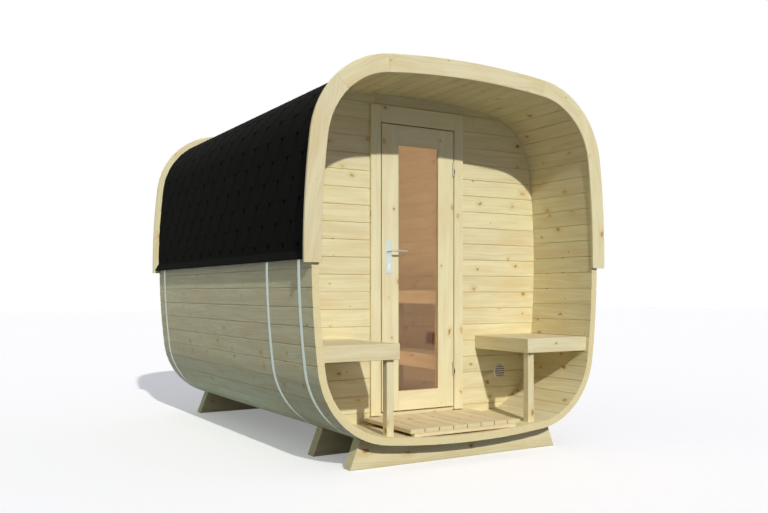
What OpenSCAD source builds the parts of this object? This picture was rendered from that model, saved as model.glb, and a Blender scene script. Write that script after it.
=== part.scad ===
// Cube sauna: a rounded square barrel of staves on timber cradles, with an open
// front porch, a glazed door, two porch benches and a shingled roof.
// Millimetres. +X is right, -Y is the front, +Z is up, and the ground is Z = 0.

/* [Shell] */
// Outside width across the bowed sides
shell_width = 2140; // [1600:10:3000]
// Outside height from the lowest to the highest stave
shell_height = 2256; // [2200:10:3000]
// Length of the staves, from the porch rim to the rear rim
shell_length = 2936; // [2000:10:6000]
// Thickness of the staves
stave_t = 45; // [28:1:70]
// Radius of the bow of each side
side_bow_r = 5380; // [3000:10:12000]
// Radius of the bow of the top and the bottom
top_bow_r = 5380; // [3000:10:12000]
// Outside radius of the four corners
corner_r = 504; // [300:1:700]
// Height of the lowest stave above the ground
shell_lift = 112; // [60:1:300]

/* [Walls] */
// Depth of the open porch in front of the front wall
porch_depth = 587; // [400:1:1200]
// Thickness of the front and rear walls
wall_t = 45; // [32:1:70]
// Depth of the croze, the groove in the staves that holds each end wall
croze_depth = 12; // [5:1:20]
// Depth of the rear wall behind the rear rim
rear_recess = 60; // [20:1:200]

/* [Door] */
// Width of the door leaf
leaf_width = 572; // [500:1:800]
// Height of the door leaf
leaf_height = 1882; // [1600:1:1940]
// Thickness of the door leaf
leaf_t = 40; // [30:1:56]
// Width of the stiles and rails of the leaf
rail_width = 128; // [90:1:160]
// Height of the leaf's lower edge above the floor
leaf_rise = 87; // [58:1:130]
// Gap between the leaf and its frame
leaf_gap = 8; // [7:0.5:12]
// Visible width of the casing boards round the door
casing_width = 73; // [50:1:120]
// Height of the casing's head board over the leaf
casing_head = 119; // [70:1:135]
// Thickness of the casing boards
casing_t = 20; // [12:1:30]
// Thickness of the frame boards that line the doorway
frame_t = 40; // [20:1:60]
// Thickness of the threshold under the leaf
threshold_t = 28; // [20:1:45]
// Width of the stop strip inside the frame
stop_width = 15; // [8:1:25]
// Thickness of the tinted pane
glass_t = 8; // [4:1:10]

/* [Door handle and hinges] */
// Height of the lever's spindle above the leaf's lower edge
lever_rise = 1051; // [700:1:1200]
// Length of the lever from the spindle to its tip
lever_length = 112; // [90:1:150]
// Distance of the lever's middle in front of the leaf
lever_reach = 48; // [35:1:70]
// Width of the long handle plate
plate_width = 42; // [30:1:60]
// Height of the long handle plate
plate_height = 218; // [185:1:260]
// Height of the plate's top above the spindle
plate_above = 69; // [30:1:75]
// Distance of the plate's middle from the leaf's edge
plate_inset = 51; // [45:1:60]
// Drop of the keyhole below the spindle
key_drop = 92; // [60:1:100]
// Length of each hinge barrel
hinge_length = 92; // [60:1:140]
// Radius of each hinge barrel
hinge_r = 5.5; // [4.5:0.5:7]
// Height of the lower hinge above the leaf's lower edge
hinge_low = 210; // [120:1:400]
// Distance of the upper hinge below the leaf's upper edge
hinge_high = 214; // [120:1:400]

/* [Porch] */
// Height of the porch seats above the floor
seat_height = 568; // [400:1:640]
// Depth of the bench aprons
apron_depth = 93; // [60:1:140]
// Thickness of the apron boards
apron_t = 26; // [18:1:40]
// Thickness of the seat boards
seat_t = 24; // [18:1:40]
// Clear width between the two porch benches
bench_gap = 970; // [700:1:1200]
// Setback of the benches behind the rim
bench_setback = 27; // [10:1:80]
// Side of the square bench legs
leg_size = 48; // [35:1:70]
// Number of slats of the duckboard
slat_count = 8; // [5:1:12]
// Width of the duckboard
duck_width = 830; // [500:1:960]
// Setback of the duckboard behind the rim
duck_setback = 22; // [5:1:80]
// Gap between two slats of the duckboard
slat_gap = 6; // [5:1:20]
// Thickness of the duckboard slats
slat_t = 24; // [15:1:30]
// Height of the duckboard's top above the floor
duck_height = 59; // [50:1:75]
// Width of the bearers under the slats
bearer_width = 45; // [30:1:80]

/* [Roof] */
// Thickness of the shingle covering
shingle_t = 10; // [6:1:20]
// Height of the shell's middle above the eaves
eave_drop = 32; // [-200:1:300]
// Outward kick of the drip battens at the eaves
drip_kick = 26; // [15:1:50]
// Height of the drip battens
drip_height = 54; // [30:1:90]
// Thickness of the drip battens' lower edges
drip_edge = 6; // [3:1:15]
// Width of the fascia boards outside the staves
fascia_out = 54; // [30:1:80]
// Width of the fascia boards over the stave ends and inwards
fascia_in = 53; // [45:1:80]
// Thickness of the fascia boards
fascia_t = 20; // [12:1:40]
// Drop of the fascia boards' lower ends below the eaves
fascia_drop = 21; // [0:1:100]

/* [Bands and cradles] */
// Width of the steel bands
band_width = 36; // [15:1:40]
// Distance of the end bands' middles from the rims
band_setback = 160; // [122:1:162]
// Distance of the middle band's middle from the porch rim
mid_band_setback = 615; // [420:1:2060]
// Thickness of the steel bands
band_t = 1.6; // [1:0.1:3]
// Thickness of the cradle timbers
cradle_t = 80; // [45:1:120]
// Half the length of each cradle on the ground
cradle_half = 776; // [720:1:900]
// Half the length of each cradle at its top corners
cradle_top_half = 709; // [600:1:760]
// Distance of the end cradles' outer faces from the rims
cradle_setback = 102; // [40:1:300]
// Distance of the middle cradle's front face from the porch rim
mid_cradle_setback = 583; // [400:1:2000]

/* [Vent] */
// Radius of the louvred vent cover
vent_r = 50; // [30:1:80]
// Height of the vent above the floor
vent_height = 306; // [250:1:450]
// Distance of the vent to the right of the middle
vent_offset = 704; // [600:1:800]
// Number of louvres
louvre_count = 6; // [3:1:9]
// Projection of the vent cover from the wall
cover_t = 9; // [6:1:20]

/* [Sauna room benches] */
// Height of the upper bench above the floor
upper_bench_height = 883; // [750:1:950]
// Distance of the upper bench's edge right of the middle
upper_bench_edge = 525; // [450:1:700]
// Height of the lower bench above the floor
lower_bench_height = 420; // [300:1:550]
// Distance of the lower bench's edge right of the middle
lower_bench_edge = 305; // [250:1:400]
// Thickness of the room benches' seats
room_seat_t = 28; // [20:1:45]
// Depth of the room benches' aprons
room_apron_depth = 104; // [60:1:140]

/* [Room vent] */
// Side of the square vent under the upper bench
room_vent_size = 100; // [60:1:160]
// Thickness of the room vent's cover
room_vent_t = 12; // [8:1:25]
// Height of the room vent's middle above the floor
room_vent_height = 473; // [380:1:650]
// Distance of the room vent's middle behind the porch rim
room_vent_depth = 1884; // [1000:1:2500]
// Number of slots in the room vent
room_slot_count = 4; // [2:1:8]

/* [Hidden] */
$fn = 48;

spruce = "#E3D5A4";
larch_grey = "#A79F7E";
bitumen = "#1A1A1B";
steel = "#B9C4C6";
bronze_glass = "#A5825F";
umber = "#4A2A12";

touch = 0.3;        // gap between a curved surface and what lies on it
flat = 0.12;        // how far the straight steps of a curve may leave it
lap = 1;            // overlap of two shapes of one piece, and overrun of a cut
a = shell_width / 2;
b = shell_height / 2;
mid_z = shell_lift + b;
front_y = -shell_length / 2;
rear_y = shell_length / 2;
floor_top = shell_lift + stave_t;
wall_y = front_y + porch_depth;
room_y = wall_y + wall_t;
rear_wall_y = rear_y - rear_recess - wall_t;
eave_z = mid_z - eave_drop;

// The outline is four big bows joined by tangent corner arcs. Everything here
// is in the upper right quarter, measured from the shell's axis.
side_c = [a - side_bow_r, 0];
top_c = [0, b - top_bow_r];
span = norm(top_c - side_c);
along = (pow(side_bow_r - corner_r, 2) - pow(top_bow_r - corner_r, 2) + span * span) / (2 * span);
aside = sqrt(pow(side_bow_r - corner_r, 2) - along * along);
dir = (top_c - side_c) / span;
corner_c = side_c + dir * along + [-dir.y, dir.x] * aside;
side_ang = atan2(corner_c.y - side_c.y, corner_c.x - side_c.x);
top_ang = atan2(corner_c.y - top_c.y, corner_c.x - top_c.x);

// Half width of the outline offset by e at height z, and its lowest height at x
function half_width(z, e) = let (h = abs(z - mid_z))
    h <= (side_bow_r + e) * sin(side_ang)
        ? side_c.x + sqrt(pow(side_bow_r + e, 2) - h * h)
        : corner_c.x + sqrt(pow(corner_r + e, 2) - pow(h - corner_c.y, 2));
function low_z(x, e) = let (w = abs(x))
    w <= (top_bow_r + e) * cos(top_ang)
        ? mid_z - top_c.y - sqrt(pow(top_bow_r + e, 2) - w * w)
        : mid_z - corner_c.y - sqrt(pow(corner_r + e, 2) - pow(w - corner_c.x, 2));
// Angle at which the bowed side, offset by e, passes height z
function side_turn(z, e) = asin((z - mid_z) / (side_bow_r + e));
function arc_points(c, r, from, to) =
    let (n = ceil((to - from) / (2 * acos(1 - flat / r))))
    [for (i = [0 : n]) let (t = from + (to - from) * i / n) c + r * [cos(t), sin(t)]];
// Outline offset by e, from angle start on the side to angle stop on the corner,
// from there to the top, and the whole of a quarter
function side_run(e, start, stop) = concat(
    arc_points(side_c, side_bow_r + e, start, side_ang),
    arc_points(corner_c, corner_r + e, side_ang, stop));
function top_run(e, start) = concat(
    arc_points(corner_c, corner_r + e, start, top_ang),
    arc_points(top_c, top_bow_r + e, top_ang, 90));
function arc_run(e, start) = concat(side_run(e, start, top_ang),
    arc_points(top_c, top_bow_r + e, top_ang, 90));
function quarter(e) = arc_run(e, 0);
function reversed(p) = [for (i = [len(p) - 1 : -1 : 0]) p[i]];
function outline(e) = let (q = quarter(e)) concat(q,
    reversed([for (p = q) [-p.x, p.y]]), [for (p = q) [-p.x, -p.y]],
    reversed([for (p = q) [p.x, -p.y]]));

// Stands a flat XZ shape up as a plate that runs from y0 to y0 + depth
module stand(y0, depth) {
    translate([0, y0 + depth, 0]) rotate([90, 0, 0]) linear_extrude(depth) children();
}
module both(side) {
    if (side < 0) mirror([1, 0, 0]) children();
    else children();
}
// Turns a section, drawn as radius and distance from the rear, about centre c
module turn_section(c, r, from, to, y_back) {
    translate([c.x, y_back, mid_z + c.y]) rotate([90, 0, 0])
        rotate_extrude(angle = to - from, start = from, $fn = r > 2000 ? 1440 : 180) children();
}
module arc_board(c, r_in, r_out, from, to, y0, depth) {
    turn_section(c, r_out, from, to, y0 + depth)
        translate([r_in, 0]) square([r_out - r_in, depth]);
}
// Board between two runs of the upper outline
module run_board(outer, inner, y0, depth) {
    stand(y0, depth) translate([0, mid_z]) polygon(concat(outer, reversed(inner)));
}
module low_half() {
    translate([0, 0, 2 * mid_z]) mirror([0, 0, 1]) children();
}

// ---- Shell of staves, in eight segments -------------------------------------
// A stave cut along its length, with a croze at each end wall
module stave_section(r) difference() {
    translate([r - stave_t, 0]) square([stave_t, shell_length]);
    for (y = [wall_y, rear_wall_y]) translate([r - stave_t - lap, rear_y - y - wall_t])
        square([croze_depth + lap, wall_t]);
}
module shell_side() color(spruce)
    turn_section(side_c, side_bow_r, -side_ang, side_ang, rear_y) stave_section(side_bow_r);
module shell_corner() color(spruce)
    turn_section(corner_c, corner_r, side_ang, top_ang, rear_y) stave_section(corner_r);
module shell_flat() color(spruce)
    turn_section(top_c, top_bow_r, top_ang, 180 - top_ang, rear_y) stave_section(top_bow_r);

// ---- Roof --------------------------------------------------------------------
module roof_side() color(bitumen) {
    start = side_turn(eave_z + drip_height, 0);
    run_board(side_run(touch + shingle_t, start, top_ang), side_run(touch, start, top_ang),
        front_y, shell_length);
}
module roof_top() color(bitumen)
    arc_board(top_c, top_bow_r + touch, top_bow_r + touch + shingle_t, top_ang, 180 - top_ang,
        front_y, shell_length);
// Wedge under the lowest shingles that throws the drips clear of the wall
module drip_batten() color(bitumen) stand(front_y, shell_length) {
    high = eave_z + drip_height - lap;
    reach = touch + shingle_t + drip_kick;
    polygon([
        [half_width(eave_z, touch), eave_z],
        [half_width(eave_z, reach), eave_z],
        [half_width(eave_z, reach), eave_z + drip_edge],
        [half_width(high, touch + shingle_t), high],
        [half_width(high, touch), high]]);
}
// Fascia boards meet at the middle of each upper corner
mitre = 45;
module fascia_side(y0) color(spruce) {
    start = side_turn(eave_z - fascia_drop, 0);
    run_board(side_run(fascia_out, start, mitre), side_run(-fascia_in, start, mitre), y0, fascia_t);
}
function over_top(e) = let (q = top_run(e, mitre)) concat(q, reversed([for (p = q) [-p.x, p.y]]));
module fascia_top(y0) color(spruce)
    run_board(over_top(fascia_out), over_top(-fascia_in), y0, fascia_t);

// ---- Bands and cradles -------------------------------------------------------
band_in = touch;
band_out = touch + band_t;
front_cradle_y = front_y + cradle_setback;
mid_cradle_y = front_y + mid_cradle_setback;
rear_cradle_y = rear_y - cradle_setback - cradle_t;
// Outline offset by e that runs from eave to eave under the floor
function low_strip(e) = let (q = arc_run(e, -side_turn(eave_z - touch, 0)))
    concat([for (p = q) [p.x, mid_z - p.y]], reversed([for (p = q) [-p.x, mid_z - p.y]]));
module band(y0) color(steel) stand(y0 - band_width / 2, band_width)
    polygon(concat(low_strip(band_out), reversed(low_strip(band_in))));
module cradle(y0) color(larch_grey) stand(y0, cradle_t) {
    seat = band_out + touch;
    top = low_z(cradle_top_half, seat);
    lower = [for (p = quarter(seat)) if (mid_z - p.y < top && p.x < cradle_top_half) [p.x, mid_z - p.y]];
    polygon(concat([[-cradle_half, 0], [cradle_half, 0], [cradle_top_half, top]],
        lower, reversed([for (p = lower) [-p.x, p.y]]), [[-cradle_top_half, top]]));
}

// ---- End walls and door frame --------------------------------------------------
leaf_bottom = floor_top + leaf_rise;
leaf_top = leaf_bottom + leaf_height;
door_half = leaf_width / 2 + leaf_gap;        // inner edge of frame and casing
hole_half = door_half + frame_t;              // doorway through the wall
hole_top = leaf_top + leaf_gap + frame_t;
hole_bottom = leaf_bottom - leaf_gap - threshold_t;
vent_z = floor_top + vent_height;
sleeve_r = vent_r - 10;
module wall_section() translate([0, mid_z]) polygon(outline(croze_depth - stave_t - touch));
module wall_part(x0, x1, z0, z1) intersection() {
    wall_section();
    translate([x0, z0]) square([x1 - x0, z1 - z0]);
}
module front_wall_side() color(spruce) stand(wall_y, wall_t)
    wall_part(hole_half, a, 0, mid_z + b);
module front_wall_right() color(spruce) difference() {
    front_wall_side();
    translate([vent_offset, wall_y - lap, vent_z]) rotate([-90, 0, 0])
        cylinder(r = sleeve_r, h = wall_t + 2 * lap);
}
module front_wall_head() color(spruce) stand(wall_y, wall_t)
    wall_part(-hole_half, hole_half, hole_top, mid_z + b);
module front_wall_sill() color(spruce) stand(wall_y, wall_t)
    wall_part(-hole_half, hole_half, 0, hole_bottom);
module rear_wall() color(spruce) stand(rear_wall_y, wall_t) wall_section();

leaf_y = wall_y - casing_t;                   // leaf's face is flush with the casing
leaf_back = leaf_y + leaf_t;
stop_y = leaf_back + 5;
module doorway(inset) translate([-door_half + inset, leaf_bottom - leaf_gap + inset])
    square([2 * (door_half - inset), leaf_height + 2 * (leaf_gap - inset)]);
module door_frame() color(spruce) {
    // lining with its stop strip, and the threshold
    stand(wall_y, wall_t) difference() {
        translate([-hole_half, hole_bottom]) square([2 * hole_half, hole_top - hole_bottom]);
        doorway(0);
    }
    stand(stop_y, room_y - stop_y) difference() {
        doorway(-lap);
        doorway(stop_width);
    }
}
duck_top = floor_top + duck_height;
module door_casing() color(spruce) stand(leaf_y, casing_t) difference() {
    outer = door_half + casing_width;
    low = duck_top + 5;
    inner_top = leaf_top + leaf_gap;
    translate([-outer, low]) square([2 * outer, leaf_top + casing_head - low]);
    translate([-door_half, low - lap]) square([2 * door_half, inner_top - low + lap]);
}

// ---- Door leaf, glass, handle, hinges --------------------------------------------
pane_half = leaf_width / 2 - rail_width;
pane_rebate = 12;
pane_y = leaf_y + 8;
plate_t = 4;
plate_x = plate_inset - leaf_width / 2;
lever_z = leaf_bottom + lever_rise;
plate_low = lever_z + plate_above - plate_height;
neck_r = 9;
neck_bore = neck_r + touch;
lock_bore = 13;
key_r = 8.5;
module door_leaf() color(spruce) difference() {
    translate([-leaf_width / 2, leaf_y, leaf_bottom]) cube([leaf_width, leaf_t, leaf_height]);
    translate([-pane_half, leaf_y - lap, leaf_bottom + rail_width])
        cube([2 * pane_half, leaf_t + 2 * lap, leaf_height - 2 * rail_width]);
    // groove that holds the pane
    groove = pane_rebate + 1;
    translate([-pane_half - groove, pane_y - touch, leaf_bottom + rail_width - groove])
        cube([2 * (pane_half + groove), glass_t + 2 * touch, leaf_height - 2 * rail_width + 2 * groove]);
    translate([plate_x, leaf_y - lap, lever_z]) rotate([-90, 0, 0])
        cylinder(r = lock_bore, h = leaf_t + 2 * lap);
}
module door_glass() color(bronze_glass, 0.5)
    translate([-pane_half - pane_rebate, pane_y, leaf_bottom + rail_width - pane_rebate])
        cube([2 * (pane_half + pane_rebate), glass_t, leaf_height - 2 * rail_width + 2 * pane_rebate]);
// Long plate with a bore for the lever's neck and a keyhole below it
module handle_plate(y0) difference() {
    translate([plate_x - plate_width / 2, y0, plate_low]) cube([plate_width, plate_t, plate_height]);
    translate([plate_x, y0 - lap, lever_z]) rotate([-90, 0, 0])
        cylinder(r = neck_bore, h = plate_t + 2 * lap);
    translate([plate_x, y0 - lap, lever_z - key_drop]) rotate([-90, 0, 0])
        cylinder(r = key_r, h = plate_t + 2 * lap);
}
module handle_plates() color(steel) {
    handle_plate(leaf_y - plate_t);
    handle_plate(leaf_back);
}
grip_r = 8;
spindle = 8;
module lever_arm(side) {
    // side -1 is outside, +1 is inside the room
    y_face = side < 0 ? leaf_y : leaf_back;
    y_grip = y_face + side * lever_reach;
    translate([plate_x, min(y_face, y_grip), lever_z]) rotate([-90, 0, 0])
        cylinder(r = neck_r, h = lever_reach);
    translate([plate_x, y_grip, lever_z]) rotate([0, 90, 0]) cylinder(r = grip_r, h = lever_length);
    translate([plate_x + lever_length, y_grip, lever_z]) sphere(r = grip_r);
    translate([plate_x, y_grip, lever_z]) sphere(r = neck_r);
}
module handle_lever() color(steel) {
    lever_arm(-1);
    lever_arm(1);
    translate([plate_x - spindle / 2, leaf_y - lap, lever_z - spindle / 2])
        cube([spindle, leaf_t + 2 * lap, spindle]);
}
hinge_x = leaf_width / 2 - hinge_r + 1;       // barrel in front of the leaf's edge
hinge_y = leaf_y - hinge_r - 1;
hinge_zs = [leaf_bottom + hinge_low, leaf_top - hinge_high - hinge_length];
hinge_half = (hinge_length - 1) / 2;          // the two halves run 1 mm apart
wing_t = 1.5;
wing_depth = 30;
strap_h = 14;
pin_r = 2.5;
pin_bore = pin_r + 0.1;
// Wing in the gap between leaf and frame, from the barrel inwards
module hinge_wing(x0, z0) translate([x0, hinge_y - 3, z0])
    cube([wing_t, leaf_y + wing_depth - hinge_y + 3, hinge_half]);
module hinges_frame_half() color(steel) for (z = hinge_zs) {
    difference() {
        union() {
            hinge_wing(leaf_width / 2 + leaf_gap - wing_t, z);
            // strap from the barrel across the gap
            translate([hinge_x, hinge_y - 3, z])
                cube([leaf_width / 2 + leaf_gap - hinge_x, wing_t, strap_h]);
        }
        translate([hinge_x, hinge_y, z - lap]) cylinder(r = hinge_r - lap, h = hinge_half + 2 * lap);
    }
    translate([hinge_x, hinge_y, z]) cylinder(r = hinge_r, h = hinge_half);
    translate([hinge_x, hinge_y, z + hinge_half - lap]) cylinder(r = pin_r, h = hinge_half);
}
module hinges_door_half() color(steel) for (z = hinge_zs) {
    z0 = z + hinge_length - hinge_half;
    difference() {
        union() {
            hinge_wing(leaf_width / 2, z0);
            translate([hinge_x, hinge_y, z0]) cylinder(r = hinge_r, h = hinge_half);
        }
        translate([hinge_x, hinge_y, z0 - lap]) cylinder(r = pin_bore, h = hinge_half - lap);
    }
}

// ---- Porch benches and duckboard ---------------------------------------------------
bench_y = front_y + bench_setback;
bench_x = bench_gap / 2;
seat_z = floor_top + seat_height;
apron_low = seat_z - apron_depth;
bench_back = wall_y - touch;
ledger_height = 45;
ledger_t = 25;
module along_wall(z0, z1, x0, y0, depth) {
    // board whose right end follows the side of the shell
    stand(y0, depth) polygon([[x0, z0], [half_width(z0, -stave_t) - touch, z0],
        [half_width(z1, -stave_t) - touch, z1], [x0, z1]]);
}
module leg(x0, y0, top) stand(y0, leg_size) {
    // foot scribed to the bow of the floor
    polygon([[x0, low_z(x0, -stave_t) + touch],
        [x0 + leg_size, low_z(x0 + leg_size, -stave_t) + touch],
        [x0 + leg_size, top], [x0, top]]);
}
module bench_frame() color(spruce) {
    under_seat = seat_z - seat_t;
    along_wall(apron_low, seat_z, bench_x, bench_y, apron_t);
    translate([bench_x, bench_y, apron_low]) cube([apron_t, bench_back - bench_y, apron_depth]);
    leg(bench_x + apron_t, bench_y + apron_t, under_seat);
    // ledger on the front wall
    along_wall(under_seat - ledger_height, under_seat, bench_x + apron_t, bench_back - ledger_t, ledger_t);
}
module bench_seat() color(spruce)
    along_wall(seat_z - seat_t + touch, seat_z, bench_x + apron_t + touch,
        bench_y + apron_t + touch, bench_back - bench_y - apron_t - 2 * touch);

duck_y = front_y + duck_setback;
duck_length = leaf_y - 5 - duck_y;            // ends 5 mm clear of the casing
slat_pitch = (duck_width + slat_gap) / slat_count;
module duckboard() color(spruce) {
    under_slats = duck_top - slat_t;
    end_inset = 4;
    side_inset = 30;
    rest = 40;
    for (i = [0 : slat_count - 1])
        translate([-duck_width / 2 + i * slat_pitch, duck_y, under_slats])
            cube([slat_pitch - slat_gap, duck_length, slat_t]);
    // bearers, straight underneath, their ends cut to the bow of the floor
    room = duck_length - 2 * end_inset - bearer_width;
    for (i = [0 : 2]) stand(duck_y + end_inset + i * room / 2, bearer_width) {
        half = duck_width / 2 - side_inset;
        polygon(concat([[half, under_slats], [-half, under_slats]],
            [for (x = [-half, rest - half, half - rest, half]) [x, low_z(x, -stave_t) + touch]]));
    }
}

// ---- Vent and the benches in the room ------------------------------------------------
cover_rim = 6;
sleeve_t = 3;
louvre_t = 1.6;
louvre_slope = 40;
module ring(r_out, r_in, y0, h) difference() {
    translate([0, 0, y0]) cylinder(r = r_out, h = h);
    translate([0, 0, y0 - lap]) cylinder(r = r_in, h = h + 2 * lap);
}
module wall_vent() color(steel) translate([vent_offset, wall_y, vent_z]) rotate([-90, 0, 0]) {
    field_r = vent_r - cover_rim;
    pitch = 2 * field_r / louvre_count;
    ring(vent_r, field_r, -cover_t, cover_t);
    ring(sleeve_r - touch, sleeve_r - sleeve_t, -lap, wall_t + lap);
    ring(field_r + lap, sleeve_r - sleeve_t, -sleeve_t, sleeve_t);
    intersection() {
        translate([0, 0, -cover_t]) cylinder(r = field_r + lap, h = cover_t);
        for (i = [0 : louvre_count - 1])
            translate([0, -field_r + (i + 0.5) * pitch, -cover_t / 2]) rotate([louvre_slope, 0, 0])
                cube([2 * vent_r, louvre_t, cover_t], center = true);
    }
}
upper_bench_z = floor_top + upper_bench_height;
lower_bench_z = floor_top + lower_bench_height;
room_bench_y = room_y + touch;
room_bench_length = rear_wall_y - room_y - 2 * touch;
module room_bench_stand(edge, top) {
    // apron and legs
    under_seat = top - room_seat_t + lap;
    translate([edge, room_bench_y, top - room_apron_depth])
        cube([apron_t, room_bench_length, under_seat - top + room_apron_depth]);
    end_inset = 20;
    for (y = [end_inset, (room_bench_length - leg_size) / 2, room_bench_length - leg_size - end_inset])
        leg(edge + apron_t - lap, room_bench_y + y, under_seat);
}
module room_bench_upper() color(spruce) {
    along_wall(upper_bench_z - room_seat_t, upper_bench_z, upper_bench_edge, room_bench_y, room_bench_length);
    room_bench_stand(upper_bench_edge, upper_bench_z);
}
// The lower bench leans on the legs of the upper one
module room_bench_lower() color(spruce) {
    width = upper_bench_edge + apron_t - lap - touch - lower_bench_edge;
    translate([lower_bench_edge, room_bench_y, lower_bench_z - room_seat_t])
        cube([width, room_bench_length, room_seat_t]);
    room_bench_stand(lower_bench_edge, lower_bench_z);
}

// Flat shape that lies on the inner side of the shell, x0 to x1 away from it
module slope(z0, z1, x0, x1) polygon([
    [half_width(z0, -stave_t) - x0, z0], [half_width(z0, -stave_t) - x1, z0],
    [half_width(z1, -stave_t) - x1, z1], [half_width(z1, -stave_t) - x0, z1]]);
// Slotted cover on the bow of the room's right wall
module room_vent() color(umber) {
    middle = floor_top + room_vent_height;
    half = room_vent_size / 2;
    frame = 12;
    pitch = (room_vent_size - 2 * frame) / room_slot_count;
    y0 = front_y + room_vent_depth - half;
    difference() {
        stand(y0, room_vent_size) slope(middle - half, middle + half, touch, touch + room_vent_t);
        for (i = [0 : room_slot_count - 1]) let (z = middle - half + frame + (i + 0.25) * pitch)
            stand(y0 + frame, room_vent_size - 2 * frame)
                slope(z, z + pitch / 2, room_vent_t / 2, room_vent_t + lap);
    }
}

low_half() shell_flat();  // shell_floor
both(-1) shell_side();  // shell_left
both(1) shell_side();  // shell_right
shell_flat();  // shell_ceiling
both(-1) low_half() shell_corner();  // corner_low_left
both(1) low_half() shell_corner();  // corner_low_right
both(-1) shell_corner();  // corner_high_left
both(1) shell_corner();  // corner_high_right
both(-1) roof_side();  // roof_left
roof_top();
both(1) roof_side();  // roof_right
both(-1) drip_batten();  // drip_batten_left
both(1) drip_batten();  // drip_batten_right
both(-1) fascia_side(front_y - fascia_t);  // fascia_front_left
fascia_top(front_y - fascia_t);  // fascia_front_top
both(1) fascia_side(front_y - fascia_t);  // fascia_front_right
both(-1) fascia_side(rear_y);  // fascia_rear_left
fascia_top(rear_y);  // fascia_rear_top
both(1) fascia_side(rear_y);  // fascia_rear_right
band(front_y + band_setback);  // band_front
band(front_y + mid_band_setback);  // band_middle
band(rear_y - band_setback);  // band_rear
cradle(front_cradle_y);  // cradle_front
cradle(mid_cradle_y);  // cradle_middle
cradle(rear_cradle_y);  // cradle_rear
both(-1) front_wall_side();  // front_wall_left
front_wall_right();
front_wall_head();
front_wall_sill();
rear_wall();
door_frame();
door_casing();
door_leaf();
door_glass();
handle_plates();
handle_lever();
hinges_frame_half();
hinges_door_half();
both(-1) bench_frame();  // bench_left_frame
both(-1) bench_seat();  // bench_left_seat
both(1) bench_frame();  // bench_right_frame
both(1) bench_seat();  // bench_right_seat
duckboard();
wall_vent();
room_bench_upper();
room_bench_lower();
room_vent();
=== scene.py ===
# %% [markdown]
# # A cube sauna of spruce staves
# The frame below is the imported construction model: every node is already in its place, in metres.
# Timber parts are rebuilt as single boards, because a real sauna of this kind is made of about two
# hundred planed boards, and the eye reads it by their joints, bevels and grain.

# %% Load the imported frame
import math
import random

import bmesh
import bpy
from mathutils import Matrix, Vector


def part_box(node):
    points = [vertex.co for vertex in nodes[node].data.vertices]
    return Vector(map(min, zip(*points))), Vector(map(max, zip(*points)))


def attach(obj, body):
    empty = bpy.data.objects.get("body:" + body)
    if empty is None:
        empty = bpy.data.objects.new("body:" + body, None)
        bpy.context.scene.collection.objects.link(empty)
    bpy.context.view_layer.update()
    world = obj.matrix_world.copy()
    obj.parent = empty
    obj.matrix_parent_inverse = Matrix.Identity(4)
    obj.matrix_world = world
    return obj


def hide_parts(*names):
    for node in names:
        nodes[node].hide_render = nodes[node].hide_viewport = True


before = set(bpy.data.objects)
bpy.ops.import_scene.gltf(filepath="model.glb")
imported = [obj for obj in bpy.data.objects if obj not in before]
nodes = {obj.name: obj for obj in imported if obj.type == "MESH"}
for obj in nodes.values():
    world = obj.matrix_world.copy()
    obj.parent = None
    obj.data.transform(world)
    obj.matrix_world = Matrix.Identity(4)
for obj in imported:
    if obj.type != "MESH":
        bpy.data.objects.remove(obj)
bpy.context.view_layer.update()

# %% [markdown]
# ## Camera
# The camera stands left of the porch at standing-eye height, level, with a small upward shift, as one
# would take a building so that its uprights stay upright.

# %% Camera
def link_object(name, data):
    """Makes an object of this data and puts it in the scene."""
    obj = bpy.data.objects.new(name, data)
    bpy.context.scene.collection.objects.link(obj)
    return obj


camera_data = bpy.data.cameras.new("camera")
camera_data.lens = 38.69
camera_data.sensor_width = 36
camera_data.shift_y = 0.0470
camera = link_object("camera", camera_data)
camera.location = (-3.041, -5.518, 1.022)
camera.rotation_euler = (math.radians(90), 0, math.radians(-30.97))
bpy.context.scene.camera = camera
print("camera", camera.location[:])

# %% [markdown]
# ## Colours and nodes
# Colours are written as in a paint chart, in sRGB hex. The shader wants linear light, so one function
# turns them. One more function adds a node, sets it and links it, and the short ones after it name
# the few kinds of node that every finish here is made of.

# %% Helpers for materials
def hue(code):
    """Linear light of an sRGB hex colour."""
    channels = [int(code[i:i + 2], 16) / 255 for i in (1, 3, 5)]
    return [c / 12.92 if c <= 0.04045 else ((c + 0.055) / 1.055) ** 2.4 for c in channels] + [1]


def add(tree, kind, inputs=(), out=0, **settings):
    """Adds a node, sets its properties and inputs, and gives one of its outputs."""
    node = tree.nodes.new("ShaderNode" + kind)
    for key, value in settings.items():
        setattr(node, key, value)
    for key, value in dict(inputs).items():
        if isinstance(value, bpy.types.NodeSocket):
            tree.links.new(value, node.inputs[key])
        else:
            node.inputs[key].default_value = value
    return node.outputs[out]


def new_material(name, base, roughness, metallic=0.0, specular=0.5):
    material = bpy.data.materials.new(name)
    material.use_nodes = True
    shader = material.node_tree.nodes["Principled BSDF"]
    shader.inputs["Base Color"].default_value = hue(base)
    shader.inputs["Roughness"].default_value = roughness
    shader.inputs["Metallic"].default_value = metallic
    shader.inputs["Specular IOR Level"].default_value = specular
    return material, material.node_tree, shader


def ramp(tree, factor, stops):
    """A colour ramp from a list of (place, hex colour)."""
    out = add(tree, "ValToRGB", {0: factor})
    for element, (place, code) in zip(out.node.color_ramp.elements, stops):
        element.position = place
        element.color = hue(code)
    return out


def mix(tree, share, first, second):
    """A blend of two colours, each of them a hex code, a linear colour or a node's output."""
    first, second = [hue(c) if isinstance(c, str) else c for c in (first, second)]
    return add(tree, "Mix", {0: share, 6: first, 7: second}, out=2, data_type="RGBA")


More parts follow.
